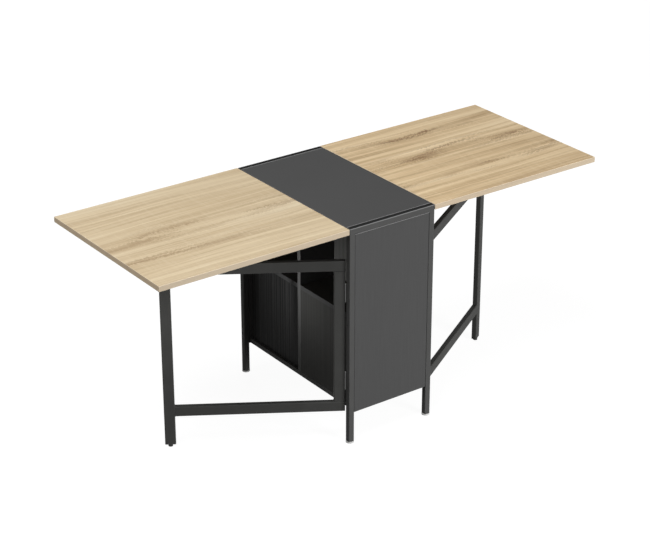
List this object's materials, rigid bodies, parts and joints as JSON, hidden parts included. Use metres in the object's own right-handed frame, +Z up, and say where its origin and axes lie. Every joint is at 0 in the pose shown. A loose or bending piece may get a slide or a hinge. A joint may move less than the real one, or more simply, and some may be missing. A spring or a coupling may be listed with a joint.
{
  "type": "folding dining table",
  "caption": "Gate-leg folding dining table: narrow charcoal storage cabinet with open shelves, light oak leaves on underside hinges, and tube gates that swing out to carry them.",
  "frame": {"origin": "on the floor under the middle of the table", "axes": "+X along the table's length, +Y to the rear end frame, +Z up"},
  "size_m": [1.69, 0.625, 0.75],
  "materials": {
    "oak_melamine": "satin light oak melamine",
    "charcoal_board": "matt charcoal melamine",
    "charcoal_tube": "fine satin powder coat",
    "hinge_steel": "zinc-plated steel",
    "zinc_fastener": "zinc-plated steel",
    "black_plastic": "moulded black",
    "pale_foot": "moulded pale grey",
    "beech_dowel": "plain beech"
  },
  "bodies": {
    "cabinet": {"bottom_board": "charcoal_board", "centre_divider": "charcoal_board", "centre_top": "charcoal_board", "dowels": "beech_dowel", "foot_inserts": "black_plastic", "frame_screws": "zinc_fastener", "front_end_panel": "charcoal_board", "front_left_post": "charcoal_tube", "front_lower_back": "charcoal_board", "front_right_post": "charcoal_tube", "front_shelf": "charcoal_board", "front_top_rail": "charcoal_tube", "front_upper_partition": "charcoal_board", "left_post_hinge_plates": "hinge_steel", "left_top_hinge_plates": "hinge_steel", "post_hinge_screws": "zinc_fastener", "rear_end_panel": "charcoal_board", "rear_left_post": "charcoal_tube", "rear_lower_back": "charcoal_board", "rear_right_post": "charcoal_tube", "rear_shelf": "charcoal_board", "rear_top_rail": "charcoal_tube", "rear_upper_partition": "charcoal_board", "right_post_hinge_plates": "hinge_steel", "right_top_hinge_plates": "hinge_steel", "shelf_pins": "zinc_fastener", "top_hinge_screws": "zinc_fastener"},
    "front_left_foot_body": {"front_left_foot": "pale_foot"},
    "front_right_foot_body": {"front_right_foot": "pale_foot"},
    "left_gate": {"left_gate_bottom_rail": "charcoal_tube", "left_gate_hinge_pins": "zinc_fastener", "left_gate_hinge_plates": "hinge_steel", "left_gate_hinge_screws": "zinc_fastener", "left_gate_leg": "charcoal_tube", "left_gate_leg_cap": "black_plastic", "left_gate_leg_foot": "black_plastic", "left_gate_stile": "charcoal_tube", "left_gate_top_rail": "charcoal_tube"},
    "left_leaf": {"left_leaf_hinge_pins": "zinc_fastener", "left_leaf_hinge_plates": "hinge_steel", "left_leaf_hinge_screws": "zinc_fastener", "left_leaf_panel": "oak_melamine"},
    "rear_left_foot_body": {"rear_left_foot": "pale_foot"},
    "rear_right_foot_body": {"rear_right_foot": "pale_foot"},
    "right_gate": {"right_gate_bottom_rail": "charcoal_tube", "right_gate_hinge_pins": "zinc_fastener", "right_gate_hinge_plates": "hinge_steel", "right_gate_hinge_screws": "zinc_fastener", "right_gate_leg": "charcoal_tube", "right_gate_leg_cap": "black_plastic", "right_gate_leg_foot": "black_plastic", "right_gate_stile": "charcoal_tube", "right_gate_top_rail": "charcoal_tube"},
    "right_leaf": {"right_leaf_hinge_pins": "zinc_fastener", "right_leaf_hinge_plates": "hinge_steel", "right_leaf_hinge_screws": "zinc_fastener", "right_leaf_panel": "oak_melamine"}
  },
  "joints": [
    {"name": "left_gate_swing", "type": "hinge", "parent": "cabinet", "child": "left_gate", "pos_m": [-0.1655, -0.28765, 0], "axis": [0, 0, 1], "range_deg": [-57.8, 32.2]},
    {"name": "right_gate_swing", "type": "hinge", "parent": "cabinet", "child": "right_gate", "pos_m": [0.1655, -0.28765, 0], "axis": [0, 0, -1], "range_deg": [-57.8, 32.2]},
    {"name": "left_leaf_lift", "type": "hinge", "parent": "cabinet", "child": "left_leaf", "pos_m": [-0.166, 0, 0.7293], "axis": [0, 1, 0], "range_deg": [0, 5]},
    {"name": "right_leaf_lift", "type": "hinge", "parent": "cabinet", "child": "right_leaf", "pos_m": [0.166, 0, 0.7293], "axis": [0, -1, 0], "range_deg": [0, 5]},
    {"name": "front_left_foot_turn", "type": "hinge", "parent": "cabinet", "child": "front_left_foot_body", "pos_m": [-0.155, -0.299, 0], "axis": [0, 0, 1], "continuous": true},
    {"name": "front_right_foot_turn", "type": "hinge", "parent": "cabinet", "child": "front_right_foot_body", "pos_m": [0.155, -0.299, 0], "axis": [0, 0, 1], "continuous": true},
    {"name": "rear_left_foot_turn", "type": "hinge", "parent": "cabinet", "child": "rear_left_foot_body", "pos_m": [-0.155, 0.299, 0], "axis": [0, 0, 1], "continuous": true},
    {"name": "rear_right_foot_turn", "type": "hinge", "parent": "cabinet", "child": "rear_right_foot_body", "pos_m": [0.155, 0.299, 0], "axis": [0, 0, 1], "continuous": true}
  ]
}
